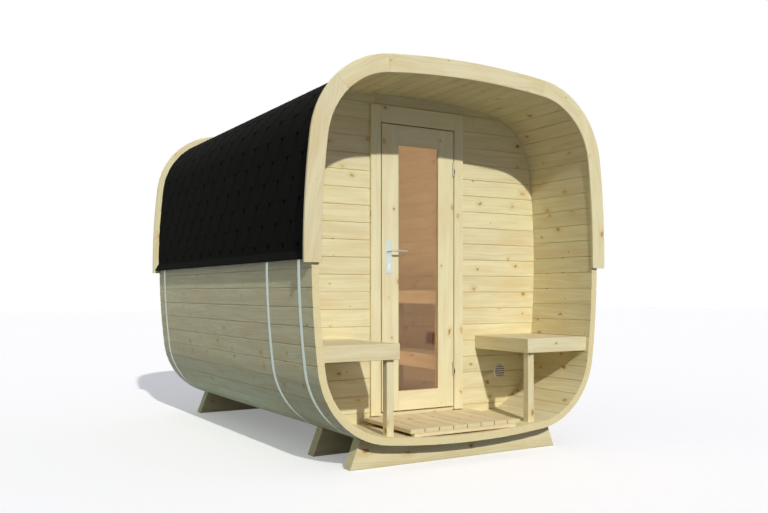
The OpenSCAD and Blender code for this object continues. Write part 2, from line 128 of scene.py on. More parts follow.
def spread(tree, value, start, stop, low, high, **settings):
    """Carries the range from start to stop over to the range from low to high."""
    return add(tree, "MapRange", {0: value, 1: start, 2: stop, 3: low, 4: high}, **settings)


def times(tree, value, factor):
    return add(tree, "Math", {0: value, 1: factor}, operation="MULTIPLY")


def own_place(tree):
    """The place on the object in metres, so that a pattern moves with its piece."""
    return add(tree, "TexCoord", out=3)


def noise(tree, place, waves, detail=2.0, dimensions="3D"):
    """Soft noise with these many waves a metre along x, y and z."""
    way = add(tree, "Mapping", {0: place, 3: waves})
    return add(tree, "TexNoise", {"Vector": way, "Scale": 1.0, "Detail": detail},
               noise_dimensions=dimensions)


def roughen(tree, shader, height, distance, strength):
    """Raises the surface by up to distance, in metres, in the way it catches light."""
    bump = add(tree, "Bump", {"Height": height, "Distance": distance, "Strength": strength})
    tree.links.new(bump, shader.inputs["Normal"])


print("helpers ready")

# %% [markdown]
# ## Studio
# A plain pale floor, one large lamp from the front left at 32 degrees, and an even sky. The lamp and
# the sky together give a surface that faces the lamp about its own colour. The sky is white only to
# the camera and in reflections, so that the background is white without more light on the timber.
# Its light is faintly violet in front and faintly green behind on the left, which gives the shaded
# porch and the shaded side each a tone of its own. The floor likewise looks paler than the light that
# it throws back.

# %% Floor, lamp and sky
WHITE = (1, 1, 1, 1)
PAPER, PAPER_BOUNCE, PAPER_GLOW = "#F2F2F0", "#697785", 0.25
SKY_FRONT, SKY_BEHIND_LEFT, SKY_LIGHT = "#E6E1FF", "#DAE6E5", 0.44
FLOOR_HALF, FLOOR_DROP = 40, 0.001
BEHIND_LEFT = (-0.8, 0.6, 0.0)

floor_bm = bmesh.new()
bmesh.ops.create_grid(floor_bm, x_segments=1, y_segments=1, size=FLOOR_HALF)
floor_mesh = bpy.data.meshes.new("floor")
floor_bm.to_mesh(floor_mesh)
floor_bm.free()
floor = link_object("floor", floor_mesh)
floor.location.z = -FLOOR_DROP
paper, tree, shader = new_material("matt_white_backdrop_paper", PAPER, 0.9, specular=0.1)


def shown(tree):
    """1 for what the camera sees, straight or in a mirror or pane, and 0 for light on things."""
    path = add(tree, "LightPath").node.outputs
    part = add(tree, "Math", {0: path["Is Camera Ray"], 1: path["Is Glossy Ray"]}, operation="ADD")
    return add(tree, "Math", {0: part, 1: path["Is Transmission Ray"]}, operation="ADD", use_clamp=True)


seen = shown(tree)
tree.links.new(mix(tree, seen, PAPER_BOUNCE, PAPER), shader.inputs["Base Color"])
tree.links.new(times(tree, seen, PAPER_GLOW), shader.inputs["Emission Strength"])
shader.inputs["Emission Color"].default_value = WHITE
floor_mesh.materials.append(paper)

lamp_data = bpy.data.lights.new("key_lamp", "SUN")
lamp_data.energy = 2.75
lamp_data.angle = math.radians(1.2)
lamp_data.color = (1.0, 0.99, 0.95)
lamp = link_object("key_lamp", lamp_data)
lamp.rotation_euler = Vector((0.199, 1, -0.647)).to_track_quat("-Z", "Y").to_euler()

world = bpy.data.worlds.new("even_sky")
bpy.context.scene.world = world
world.use_nodes = True
tree = world.node_tree
seen = shown(tree)
level = add(tree, "Mix", {0: seen, 2: SKY_LIGHT, 3: 1.0}, data_type="FLOAT")
toward = add(tree, "VectorMath", {0: add(tree, "TexCoord"), 1: BEHIND_LEFT}, out=1,
             operation="DOT_PRODUCT")
light = mix(tree, spread(tree, toward, -0.2, 0.6, 0.0, 1.0), SKY_FRONT, SKY_BEHIND_LEFT)
background = tree.nodes["Background"]
tree.links.new(level, background.inputs["Strength"])
tree.links.new(mix(tree, seen, light, WHITE), background.inputs["Color"])
bpy.context.scene.view_settings.view_transform = "Standard"
print("studio ready")

# %% [markdown]
# ## Spruce
# The boards are planed spruce, left bare. Spruce is pale yellow with slightly darker growth lines that
# run with the board, and small brown knots that the lines flow round. Every board carries its own
# coordinates in metres, u along the grain and v across it, so the pattern follows curved boards too,
# and a tone of its own, because no two boards of a batch are alike. Real growth lines are 2 to 4 mm
# apart; they are drawn about 11 mm apart here and uneven, because finer ones vanish at this distance.

# %% Spruce, along the grain and at the ends
LINES = 95.0                    # growth lines in a metre of width
KNOT_CELL = 0.19                # width in metres of a cell, which holds one knot at most
KNOT_SQUEEZE = 0.66             # a cell's width over its length; knots are as oval as that
KNOT_RADII = (0.014, 0.072)     # smallest and largest knot, as a share of the cell
KNOT_EDGE = 0.022               # how far a knot's edge is crumpled, in metres
KNOT_SWAY = 0.022               # how far the growth lines step aside for a knot, in metres
KNOT_BROWNS = ("#827042", "#A8742E")
DRIFT = 0.10                    # how far they wander over a whole board, in metres


def grain_noise(tree, place, along, across, detail=2.0):
    return noise(tree, place, (along, across, 1), detail, "2D")


def timber(name, pale, streak, patch, strength, blotch, range_of_tone=0.05, depths=(0.3, 0.95)):
    """Planed softwood: streaks along the board, warmer patches, and knots that the streaks flow round."""
    material, tree, shader = new_material(name, pale, 0.6, specular=0.3)
    place = add(tree, "UVMap", uv_map="grain")
    tone = add(tree, "Attribute", attribute_name="tone", out=2)

    # A cell's three chances settle its knot's size, colour and depth.
    crumple = grain_noise(tree, place, 40.0, 40.0, 1.0).node.outputs[1]
    uneven = add(tree, "VectorMath", {0: crumple, 1: (KNOT_EDGE, KNOT_EDGE, 0), 2: place},
                 operation="MULTIPLY_ADD")
    squeezed = add(tree, "Mapping", {0: uneven, 3: (KNOT_SQUEEZE, 1, 1)})
    cell = add(tree, "TexVoronoi", {"Vector": squeezed, "Scale": 1 / KNOT_CELL},
               voronoi_dimensions="2D").node.outputs
    chance = add(tree, "SeparateColor", {0: cell["Color"]}).node.outputs
    radius = spread(tree, chance[0], 0.2, 1.0, *KNOT_RADII)
    near = add(tree, "Math", {0: cell["Distance"], 1: radius}, operation="DIVIDE")
    core = spread(tree, near, 1.35, 0.55, 0.0, 1.0, interpolation_type="SMOOTHSTEP")
    halo = spread(tree, near, 4.0, 0.8, 0.0, 1.0, interpolation_type="SMOOTHSTEP")

    # Growth lines are noise drawn out along the board, which wanders and steps aside for knots.
    wander = times(tree, grain_noise(tree, place, 1.1, 5.0), DRIFT)
    sway = add(tree, "Math", {0: halo, 1: KNOT_SWAY, 2: wander}, operation="MULTIPLY_ADD")
    swayed = add(tree, "VectorMath", {0: place, 1: add(tree, "CombineXYZ", {1: sway})}, operation="ADD")
    ring = grain_noise(tree, swayed, 0.7, LINES, 3.0)
    wood = mix(tree, spread(tree, ring, 0.42, 0.72, 0.0, strength), pale, streak)

    # Patches as wide as a few growth lines are warmer, and between them the wood is a little paler.
    blot = grain_noise(tree, swayed, 3.0, 17.0)
    wood = mix(tree, spread(tree, blot, 0.46, 0.74, 0.0, blotch), wood, patch)
    light = spread(tree, tone, 0.0, 1.0, 1.0 - range_of_tone, 1.0 + range_of_tone / 2)
    paler = spread(tree, blot, 0.2, 0.5, 0.05, 0.0)
    light = add(tree, "Math", {0: paler, 1: light}, operation="ADD")
    shift = spread(tree, tone, 0.0, 1.0, 0.495, 0.502)
    wood = add(tree, "HueSaturation", {"Hue": shift, "Value": light, "Color": wood})

    # A knot stains the wood round it and is brown to reddish itself.
    wood = mix(tree, times(tree, halo, 0.55), wood, patch)
    depth = times(tree, spread(tree, chance[2], 0.0, 1.0, *depths), core)
    wood = mix(tree, depth, wood, mix(tree, chance[1], *KNOT_BROWNS))
    tree.links.new(wood, shader.inputs["Base Color"])
    tree.links.new(spread(tree, ring, 0.3, 0.7, 0.52, 0.68), shader.inputs["Roughness"])
    roughen(tree, shader, ring, 0.0004, 0.5)
    return material


def end_grain(name, pale, dark):
    """Sawn board ends: closely set arcs of growth rings, a little darker than the faces."""
    material, tree, shader = new_material(name, pale, 0.75, specular=0.2)
    place = add(tree, "UVMap", uv_map="grain")
    arcs = add(tree, "TexWave", {"Vector": place, "Scale": 45.0, "Distortion": 3.0, "Detail Scale": 0.4},
               out=1, wave_type="RINGS")
    wood = mix(tree, times(tree, arcs, grain_noise(tree, place, 30.0, 30.0)), pale, dark)
    tree.links.new(wood, shader.inputs["Base Color"])
    return material


spruce = timber("planed_spruce", "#E1D8AD", "#CAB27C", "#D9C288", 0.32, 0.5)
spruce_end = end_grain("sawn_spruce_end", "#E2D5A3", "#D4C08C")
# Clear staves are kept for the outside, so knots are few and faint there.
outside = timber("clear_outside_spruce", "#E1D8AD", "#CAB27C", "#D9C288", 0.32, 0.5, depths=(-0.6, 0.7))
# Joinery is picked for one even tone.
joinery = timber("planed_joinery_spruce", "#E4DCB1", "#CFB985", "#DDC892", 0.22, 0.4, 0.006)
# Beams are coarser and a little greyer, and treads are warmer from feet. Seats are darker and greyer,
# which is painted shade that takes down the sun on their tops.
beam = timber("planed_spruce_beam", "#DACEA2", "#BFA874", "#CDB680", 0.45, 0.5)
beam_end = end_grain("sawn_beam_end", "#E2D6A8", "#C6B280")
tread = timber("walked_on_spruce", "#E4D3AB", "#C2A878", "#D6BA8C", 0.4, 0.4)
seat = timber("seat_spruce_painted_shade", "#D2C9A8", "#BCA778", "#CAB482", 0.32, 0.5)
TIMBER = [spruce, spruce_end]
JOINERY = [joinery, spruce_end]
print("timber finishes", len([spruce, spruce_end, outside, joinery, beam, beam_end, tread, seat]))

# %% [markdown]
# ## The outline
# The shell is four large bows, two sides and a top and bottom, joined by corner arcs that run into
# them without a kink. Boards are made flat, where x is the way round the outline from its crown,
# z the height over the staves' outer face, and y the length; then they are bent round it. This is
# how felt is laid, and it keeps every board's thickness true.

# %% Measure the outline and bend a flat mesh round it
right_low, right_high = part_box("shell_right")
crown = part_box("shell_ceiling")[1].z
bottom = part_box("shell_floor")[0].z
HALF_W, HALF_H = right_high.x, (crown - bottom) / 2
MID_Z = (crown + bottom) / 2
FRONT, REAR = right_low.y, right_high.y
SIDE_R, TOP_R, CORNER_R = 5.380, 5.380, 0.504
STAVE = 0.045
side_c, top_c = Vector((HALF_W - SIDE_R, 0)), Vector((0, HALF_H - TOP_R))
span = (top_c - side_c).length
inner_side, inner_top = SIDE_R - CORNER_R, TOP_R - CORNER_R
along = (inner_side ** 2 - inner_top ** 2 + span ** 2) / (2 * span)
way = (top_c - side_c).normalized()
corner_c = side_c + way * along + Vector((-way.y, way.x)) * math.sqrt(inner_side ** 2 - along ** 2)
SIDE_T = math.atan2(corner_c.y - side_c.y, corner_c.x - side_c.x)
TOP_T = math.atan2(corner_c.y - top_c.y, corner_c.x - top_c.x)
TOP_RUN = TOP_R * (math.pi / 2 - TOP_T)
CORNER_RUN = CORNER_R * (TOP_T - SIDE_T)
QUARTER = TOP_RUN + CORNER_RUN + SIDE_R * SIDE_T


def run_up(z):
    """The way along the side bow from the shell's middle up to a height."""
    return math.asin((z - MID_Z) / SIDE_R) * SIDE_R


def on_outline(run, out):
    """Place on the section: run is the way round from the crown, positive to the right."""
    run = (run + 2 * QUARTER) % (4 * QUARTER) - 2 * QUARTER
    far = abs(run)
    up = 1 if far <= QUARTER else -1
    far = far if up > 0 else 2 * QUARTER - far
    if far < TOP_RUN:
        centre, radius, turn = top_c, TOP_R, math.pi / 2 - far / TOP_R
    elif far < TOP_RUN + CORNER_RUN:
        centre, radius, turn = corner_c, CORNER_R, TOP_T - (far - TOP_RUN) / CORNER_R
    else:
        centre, radius, turn = side_c, SIDE_R, SIDE_T - (far - TOP_RUN - CORNER_RUN) / SIDE_R
    x = centre.x + (radius + out) * math.cos(turn)
    z = centre.y + (radius + out) * math.sin(turn)
    return (x if run >= 0 else -x), MID_Z + up * z


def bend(bm):
    for v in bm.verts:
        x, z = on_outline(v.co.x, v.co.z)
        v.co = Vector((x, v.co.y, z))


print("quarter of the outline %.3f m, corner run %.3f m" % (QUARTER, CORNER_RUN))

# %% [markdown]
# ## One board
# A board starts as a cube that is stretched to its size, its edges are bevelled as a planer leaves
# them, and it is cut across where it has to bend. It gets its own grain coordinates and tone. End
# faces take the end-grain finish.

# %% Board, grain coordinates and finished piece
HAIR = 0.0002                   # hair gap where two boards meet
ARRIS = 0.001                   # bevel of a planed edge that is only just eased
SMOOTH = math.radians(30)       # faces that meet at less than this are one curved surface
dice = random.Random(7)


def empty_mesh():
    """A bmesh with the two layers that timber needs: they have to be there before the first face."""
    bm = bmesh.new()
    bm.loops.layers.uv.new("grain")
    bm.faces.layers.float.new("tone")
    return bm


def lay_grain(bm, faces, grain):
    """Gives the faces of one board grain coordinates in metres, a tone and end-grain ends."""
    uv, tone = bm.loops.layers.uv["grain"], bm.faces.layers.float["tone"]
    shift_u, shift_v, level = dice.uniform(0, 40), dice.uniform(0, 40), dice.random()
    bm.normal_update()
    for face in faces:
        flat = max(range(3), key=lambda i: abs(face.normal[i]))
        across = [i for i in range(3) if i not in (grain, flat)]
        face[tone] = level
        face.material_index = 1 if flat == grain else 0
        first, second = across if flat == grain else (grain, across[0])
        for loop in face.loops:
            loop[uv].uv = (loop.vert.co[first] + shift_u, loop.vert.co[second] + shift_v)


def faces_of(verts):
    return list(dict.fromkeys(f for v in verts for f in v.link_faces))


def verts_of(faces):
    return list(dict.fromkeys(v for f in faces for v in f.verts))


def cut_across(bm, faces, place, axis):
    """Cuts all the way through the faces of one board, and gives the faces that there are then."""
    edges = [e for f in faces for e in f.edges]
    parts = list(dict.fromkeys(list(faces) + edges + [v for e in edges for v in e.verts]))
    made = bmesh.ops.bisect_plane(bm, geom=parts, plane_co=place, plane_no=axis, dist=1e-6)["geom"]
    return [part for part in made if isinstance(part, bmesh.types.BMFace)]


def cut_off(bm, place, out):
    """Takes away all that lies beyond a plane, and closes the cut."""
    geom = bm.verts[:] + bm.edges[:] + bm.faces[:]
    bmesh.ops.bisect_plane(bm, geom=geom, plane_co=place, plane_no=out, clear_outer=True)
    bmesh.ops.holes_fill(bm, edges=[e for e in bm.edges if e.is_boundary], sides=0)


def bevel_edges(bm, edges, width):
    return bmesh.ops.bevel(bm, geom=edges, offset=width, offset_type="OFFSET", affect="EDGES",
                           segments=1, profile=0.5, material=-1)["verts"]


def board(bm, low, high, grain, bevel=0.002, cuts=0, long_edges=False):
    """Adds a bevelled board between two corners, cut across x into cuts + 1 parts for bending."""
    low, high = Vector(low), Vector(high)
    made = bmesh.ops.create_cube(bm, size=1)["verts"]
    bmesh.ops.scale(bm, verts=made, vec=high - low)
    bmesh.ops.translate(bm, verts=made, vec=(high + low) / 2)
    faces = faces_of(made)
    if bevel:
        edges = list(dict.fromkeys(e for v in made for e in v.link_edges))
        if long_edges:
            edges = [e for e in edges if abs(e.verts[0].co[grain] - e.verts[1].co[grain]) > bevel]
        faces = faces_of(bevel_edges(bm, edges, bevel))
    for k in range(cuts):
        faces = cut_across(bm, faces, low + (high - low) * (k + 1) / (cuts + 1), (1, 0, 0))
    lay_grain(bm, faces, grain)
    return faces


def piece(bm, name, body, materials, replaced=()):
    """Turns a finished bmesh into a piece that rides on its body."""
    mesh = bpy.data.meshes.new(name)
    bm.normal_update()
    bmesh.ops.recalc_face_normals(bm, faces=bm.faces)
    bm.to_mesh(mesh)
    bm.free()
    mesh.polygons.foreach_set("use_smooth", [True] * len(mesh.polygons))
    mesh.set_sharp_from_angle(angle=SMOOTH)
    obj = link_object(name, mesh)
    for material in materials:
        mesh.materials.append(material)
    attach(obj, body)
    if replaced:
        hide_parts(*replaced)
    print(name, len(mesh.polygons), "faces")


print("board maker ready")

# %% [markdown]
# ## Staves
# The wall is about seventy tongued staves, 45 mm thick and 109 mm wide. They close round the shell
# with a small V on both faces and a tongue that keeps light out. The joints on the two sides lie at
# the same heights; over the top and under the floor the rest is shared out evenly.

# %% Staves with their tongues
SIDE_PITCH = 0.1093
TOP_STAVES, SIDE_STAVES, FLOOR_STAVES = 25, 10, 26
STAVE_V = 0.0042
TONGUE_REACH, TONGUE_TOP, TONGUE_UNDER = 0.004, -0.018, -0.028
first_up, first_down = QUARTER - 0.574, QUARTER + 0.519


def joint_runs():
    """Ways round to every joint: over the top, down the right, under the floor and up the left."""
    over = 2 * first_up / TOP_STAVES
    under = (4 * QUARTER - 2 * first_down) / FLOOR_STAVES
    side = [i * SIDE_PITCH for i in range(1, SIDE_STAVES + 1)]
    runs = [i * over - first_up for i in range(TOP_STAVES + 1)]
    runs += [first_up + down for down in side]
    runs += [first_down + i * under for i in range(1, FLOOR_STAVES + 1)]
    runs += [4 * QUARTER - first_down + up for up in side]
    return runs


bm = empty_mesh()
runs = joint_runs()
for start, end in zip(runs, runs[1:]):
    for face in board(bm, (start + HAIR, FRONT, -STAVE), (end - HAIR, REAR, 0), 1, STAVE_V, cuts=3,
                      long_edges=True):
        if face.material_index == 0 and face.calc_center_median().z > -STAVE / 2:
            face.material_index = 2
    board(bm, (end - TONGUE_REACH, FRONT + TONGUE_REACH, TONGUE_UNDER),
          (end + TONGUE_REACH, REAR - TONGUE_REACH, TONGUE_TOP), 1, bevel=0)
bend(bm)
piece(bm, "staves", "sauna", TIMBER + [outside],
      ["shell_floor", "shell_left", "shell_right", "shell_ceiling", "corner_low_left",
       "corner_low_right", "corner_high_left", "corner_high_right"])
print("staves", len(runs) - 1)

# %% [markdown]
# ## Fascia boards
# Boards cover the rims over the roofed half, in five lengths: one over the crown, one over the first
# part of each corner, and one down each side from a joint in the middle of the corner. They are sawn to
# the outline from wide planks, so they are made flat and bent like the rest, but their grain runs
# straight along the chord.

# %% Fascia boards
FASCIA_OVER, FASCIA_UNDER = 0.054, -0.053
FASCIA_BEVEL, FASCIA_STEP, FASCIA_GAP = 0.003, 0.04, 0.0004


def lay_plank_grain(bm, faces, start, stop):
    """Straight grain along the chord of a board that is sawn to the outline."""
    uv = bm.loops.layers.uv["grain"]
    chord = (Vector(on_outline(stop, 0)) - Vector(on_outline(start, 0))).normalized()
    shift_u, shift_v = dice.uniform(0, 40), dice.uniform(0, 40)
    bm.normal_update()
    for face in faces:
        if face.material_index:
            continue
        for loop in face.loops:
            x, y, z = loop.vert.co
            across = z * chord.x - x * chord.y if abs(face.normal.y) > 0.7 else y
            loop[uv].uv = (x * chord.x + z * chord.y + shift_u, across + shift_v)


mitre_run = TOP_RUN + CORNER_R * (TOP_T - math.radians(45))
end_run = QUARTER - run_up(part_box("fascia_front_left")[0].z)
joints = [-end_run, -mitre_run, -TOP_RUN, TOP_RUN, mitre_run, end_run]
for end, (y_low, y_high) in {"front": (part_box("fascia_front_top")[0].y, FRONT),
                             "rear": (REAR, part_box("fascia_rear_top")[1].y)}.items():
    bm = empty_mesh()
    planks = []
    for start, stop in zip(joints, joints[1:]):
        faces = board(bm, (start + FASCIA_GAP, y_low, FASCIA_UNDER),
                      (stop - FASCIA_GAP, y_high, FASCIA_OVER), 0, FASCIA_BEVEL,
                      cuts=round((stop - start) / FASCIA_STEP), long_edges=True)
        planks.append((faces, start, stop))
    bend(bm)
    for plank in planks:
        lay_plank_grain(bm, *plank)
    piece(bm, "fascia_boards_" + end, "sauna", TIMBER,
          ["fascia_%s_%s" % (end, part) for part in ("left", "top", "right")])

# %% [markdown]
# ## Wall boards
# The end walls are horizontal tongued boards 112 mm high. Each board is cut from a copy of the packed
# wall with two planes, so it keeps the wall's curved ends and the doorway, and then its long edges are
# bevelled for the V joints.

# %% Cut a wall node into boards
WALL_PITCH = 0.112
WALL_JOINT = 0.241              # height of one joint; the others follow from it
WALL_GAP, WALL_V = 0.0005, 0.0037
THIN = 0.012                    # a strip lower than this keeps its square edges
LEVEL = 1e-4


def clean_copy(name):
    """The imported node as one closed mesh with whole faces, and the layers that timber needs."""
    bm = bmesh.new()
    bm.from_mesh(nodes[name].data)
    bm.loops.layers.uv.new("grain")
    bm.faces.layers.float.new("tone")
    bmesh.ops.remove_doubles(bm, verts=bm.verts, dist=1e-5)
    bmesh.ops.dissolve_limit(bm, angle_limit=math.radians(0.5), verts=bm.verts, edges=bm.edges)
    return bm


def sharp(edge, angle):
    return edge.is_manifold and edge.calc_face_angle(0) > angle


def runs_along_x(edge):
    start, stop = [v.co for v in edge.verts]
    return abs(start.y - stop.y) < LEVEL and abs(start.z - stop.z) < LEVEL


def cut_boards(target, name):
    """Adds the boards of one wall node to the target, and says how many there are."""
    low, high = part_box(name)
    start = math.floor((low.z - WALL_JOINT) / WALL_PITCH)
    stop = math.ceil((high.z - WALL_JOINT) / WALL_PITCH)
    made = 0
    for k in range(start, stop):
        bm = clean_copy(name)
        foot = WALL_JOINT + k * WALL_PITCH
        cut_off(bm, (0, 0, foot + WALL_GAP), (0, 0, -1))
        cut_off(bm, (0, 0, foot + WALL_PITCH - WALL_GAP), (0, 0, 1))
        if bm.faces:
            heights = [v.co.z for v in bm.verts]
            if max(heights) - min(heights) > THIN:
                bevel_edges(bm, [e for e in bm.edges if sharp(e, 1.2) and runs_along_x(e)], WALL_V)
            bmesh.ops.dissolve_degenerate(bm, edges=bm.edges, dist=2e-5)
            lay_grain(bm, bm.faces[:], 0)
            scrap = bpy.data.meshes.new("scrap")
            bm.to_mesh(scrap)
            target.from_mesh(scrap)
            bpy.data.meshes.remove(scrap)
            made += 1
        bm.free()
    return made


front_walls = ["front_wall_left", "front_wall_right", "front_wall_head", "front_wall_sill"]
for name, walls in {"front_wall_boards": front_walls, "rear_wall_boards": ["rear_wall"]}.items():
    bm = empty_mesh()
    count = sum(cut_boards(bm, wall) for wall in walls)
    piece(bm, name, "sauna", TIMBER, walls)
    print(name, count)

# %% [markdown]
# ## Roof covering
# The roof is bitumen shingles with hexagonal tabs. A tab is a strip of felt with slanted corners and
# a narrow slot at each side; courses overlap, so only the tab and a small dark hole at the top of each
# slot show. One tab is a flat outline that is extruded, cut across and laid again and again, a little
# raised at its lower edge, before the whole roof is bent round the shell. A near-black felt lies under
# it, and its colour is painted shade that makes the holes read dark.

# %% Bitumen finishes
# Crushed slate makes the felt matt and faintly speckled, and each tab is a shade of its own.
bitumen, tree, shader = new_material("mineral_faced_bitumen_felt", "#1A1B19", 0.95, specular=0.03)
tone = add(tree, "Attribute", attribute_name="tone", out=2)
grit = noise(tree, own_place(tree), (160, 160, 160))
felt = ramp(tree, grit, [(0.35, "#11120F"), (0.65, "#1D1E1A")])
level = spread(tree, tone, 0.0, 1.0, 0.97, 1.03)
felt = add(tree, "HueSaturation", {"Value": level, "Color": felt})
tree.links.new(felt, shader.inputs["Base Color"])
roughen(tree, shader, grit, 0.001, 0.7)

# The under-felt is near black, which is painted shade in the holes, and fine sand keeps it from any gleam
# there.
underlay, tree, shader = new_material("near_black_underlay_painted_shade", "#030303", 0.95, specular=0.0)
roughen(tree, shader, noise(tree, own_place(tree), (220, 220, 220), 1.0), 0.0005, 0.5)
print("bitumen finishes", bitumen.name, underlay.name)

# %% Shingle courses
TAB = 0.210                     # width of a tab
EXPOSED = 0.1275                # height of a course that shows
HEAD = 0.234                    # whole height of a tab
SLOT_LOW, SLOT_HIGH, SLOT_HALF = 0.101, 0.132, 0.010
TAB_GAP, TAB_T, TAB_PARTS = 0.0004, 0.002, 6
TAB_LIFT, TAB_SLOPE = 0.0080, 0.0160
FIRST_HOLE = 0.056              # way from the shell's middle up to the lowest holes
TAB_SHIFT = (0.055, -0.05)      # where even and odd courses start, from the front rim
CROWN_GAP, SAWN = 0.004, 0.001  # how far the felt ends from the crown, and from the rims
COURSE_ROOM, EAVE_BACK = 0.06, 0.0005
UNDER_FELT = (0.0003, 0.0018)   # its two faces, over the staves
eave = run_up(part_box("roof_right")[0].z)


def tab_outline(foot):
    """Half of a tab as (across, up); foot is where the lowest course is cut straight at the eave."""
    side, slot = TAB / 2 - TAB_GAP, TAB / 2 - SLOT_HALF
    lower = [(side, foot), (side, SLOT_LOW)] if foot else [(TAB / 4, 0.0)]
    return lower + [(slot, SLOT_LOW), (slot, SLOT_HIGH), (side, SLOT_HIGH), (side, HEAD)]


def lay_tab(bm, y, up, foot):
    """Makes a flat tab, cuts it across for bending, and lays it with its lower edge a little raised."""
    half = tab_outline(foot)
    points = half + [(-across, high) for across, high in reversed(half)]
    face = bm.faces.new([bm.verts.new((high, across, 0)) for across, high in points])
    top = bmesh.ops.extrude_face_region(bm, geom=[face])["geom"]
    raised = [part for part in top if isinstance(part, bmesh.types.BMVert)]
    bmesh.ops.translate(bm, verts=raised, vec=(0, 0, TAB_T))
    faces = faces_of(raised + list(face.verts))
    for k in range(1, TAB_PARTS):
        faces = cut_across(bm, faces, (k * HEAD / TAB_PARTS, 0, 0), (1, 0, 0))
    for v in verts_of(faces):
        v.co += Vector((up, y, TAB_LIFT - TAB_SLOPE * v.co.x))
    return faces


def roof_side(sign):
    """All courses of one side, laid flat from the eave up, then turned to their side and bent."""
    bm = empty_mesh()
    tone = bm.faces.layers.float["tone"]
    lowest = FIRST_HOLE - (SLOT_LOW + SLOT_HIGH) / 2
    courses = math.floor((QUARTER - COURSE_ROOM - lowest) / EXPOSED) + 1
    for course in range(courses):
        up = lowest + course * EXPOSED
        foot = eave - up + EAVE_BACK if course == 0 else 0
        y = FRONT + TAB_SHIFT[course % 2]
        while y < REAR + TAB / 2:
            level = dice.random()
            for face in lay_tab(bm, y, up, foot):
                face[tone] = level
            y += TAB
    cut_off(bm, (0, FRONT + SAWN, 0), (0, -1, 0))
    cut_off(bm, (0, REAR - SAWN, 0), (0, 1, 0))
    cut_off(bm, (QUARTER - CROWN_GAP, 0, 0), (1, 0, 0))
    for v in bm.verts:
        v.co.x = sign * (QUARTER - v.co.x)
    bend(bm)
    return bm, courses


def bent_felt(bm, name, material, replaced=()):
    """Gives flat boards the one finish of felt, and bends them round the shell."""
    for face in bm.faces:
        face.material_index = 0
    bend(bm)
    piece(bm, name, "sauna", [material], replaced)


bm = empty_mesh()
under_run = QUARTER - eave
board(bm, (-under_run, FRONT + SAWN, UNDER_FELT[0]), (under_run, REAR - SAWN, UNDER_FELT[1]), 1,
      bevel=0, cuts=110)
bent_felt(bm, "roof_underlay", underlay, ["roof_top"])
for sign, name in ((-1, "left"), (1, "right")):
    bm, courses = roof_side(sign)
    piece(bm, "shingles_" + name, "sauna", [bitumen], ["roof_" + name])
    print("courses", courses)

# %% [markdown]
# ## Ridge strip
# Over the crown, where the courses of both sides end, separate strips lie across the roof, each over
# the next.

# %% Ridge strips
RIDGE_HALF, RIDGE_STEP, RIDGE_LAP, RIDGE_T = 0.13, 0.145, 0.06, 0.003
RIDGE_LIFT, RIDGE_SLOPE = 0.0105, 0.024
bm = empty_mesh()
y = FRONT + SAWN
while y < REAR - 2 * SAWN:
    end = min(y + RIDGE_STEP + RIDGE_LAP, REAR - SAWN)
    for v in verts_of(board(bm, (-RIDGE_HALF, y, 0), (RIDGE_HALF, end, RIDGE_T), 1, bevel=0, cuts=3)):
        v.co.z += RIDGE_LIFT - RIDGE_SLOPE * (v.co.y - y)
    y += RIDGE_STEP
bent_felt(bm, "ridge_strips", bitumen)


def finish_nodes(material, names):
    """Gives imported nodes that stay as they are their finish."""
    for name in names:
        nodes[name].data.materials.clear()
        nodes[name].data.materials.append(material)


finish_nodes(bitumen, ["drip_batten_left", "drip_batten_right"])

# %% [markdown]
# ## Door leaf
# The leaf is two stiles that run its whole height, with a rail at the head and one at the foot between
# them. They are four boards round the pane.

# %% Door leaf
RAIL = 0.128
leaf_low, leaf_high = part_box("door_leaf")
low, high = leaf_low, leaf_high
bm = empty_mesh()
for x0, x1 in ((low.x, low.x + RAIL), (high.x - RAIL, high.x)):
    board(bm, (x0, low.y, low.z), (x1, high.y, high.z), 2, ARRIS)
for z0, z1 in ((low.z, low.z + RAIL), (high.z - RAIL, high.z)):
    board(bm, (low.x + RAIL + HAIR, low.y, z0), (high.x - RAIL - HAIR, high.y, z1), 0, ARRIS / 2)
piece(bm, "door_boards", "door", JOINERY, ["door_leaf"])

# %% [markdown]
# ## Casing and frame
# The casing is a head board between two side boards, flush with the leaf. Behind it the frame lines the
# doorway, and a thinner strip inside it stops the leaf.

# %% Casing and frame
GAP = 0.008                     # round the leaf
STOP, STOP_GAP = 0.015, 0.005   # how far the stop covers the leaf's edge, and how far behind it lies
side, head, foot = leaf_high.x + GAP, leaf_high.z + GAP, leaf_low.z - GAP
stop_y = leaf_high.y + STOP_GAP

low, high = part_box("door_casing")
bm = empty_mesh()
for x0, x1 in ((low.x, -side), (side, high.x)):
    board(bm, (x0, low.y, low.z), (x1, high.y, high.z), 2, ARRIS)
board(bm, (-side + HAIR, low.y, head), (side - HAIR, high.y, high.z), 0, ARRIS / 2)
piece(bm, "casing_boards", "sauna", JOINERY, ["door_casing"])

low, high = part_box("door_frame")
bm = empty_mesh()
for x0, x1 in ((low.x, -side), (side, high.x)):
    board(bm, (x0, low.y, foot), (x1, high.y, head), 2, ARRIS)
for z0, z1 in ((low.z, foot), (head, high.z)):
    board(bm, (low.x, low.y, z0), (high.x, high.y, z1), 0, ARRIS)
for x0, x1 in ((-side, -side + STOP), (side - STOP, side)):
    board(bm, (x0, stop_y, foot), (x1, high.y, head), 2, ARRIS)
for z0, z1 in ((foot, foot + STOP), (head - STOP, head)):
    board(bm, (-side + STOP, stop_y, z0), (side - STOP, high.y, z1), 0, ARRIS)
piece(bm, "frame_boards", "sauna", JOINERY, ["door_frame"])

# %% [markdown]
# ## Porch benches
# Each bench is an apron round its front and inner edge, a leg set back behind the corner, a ledger on
# the wall, and seat boards between them, flush with the aprons. The boards that run to the side end
# inside the stave wall's thickness, as their scribed ends would.

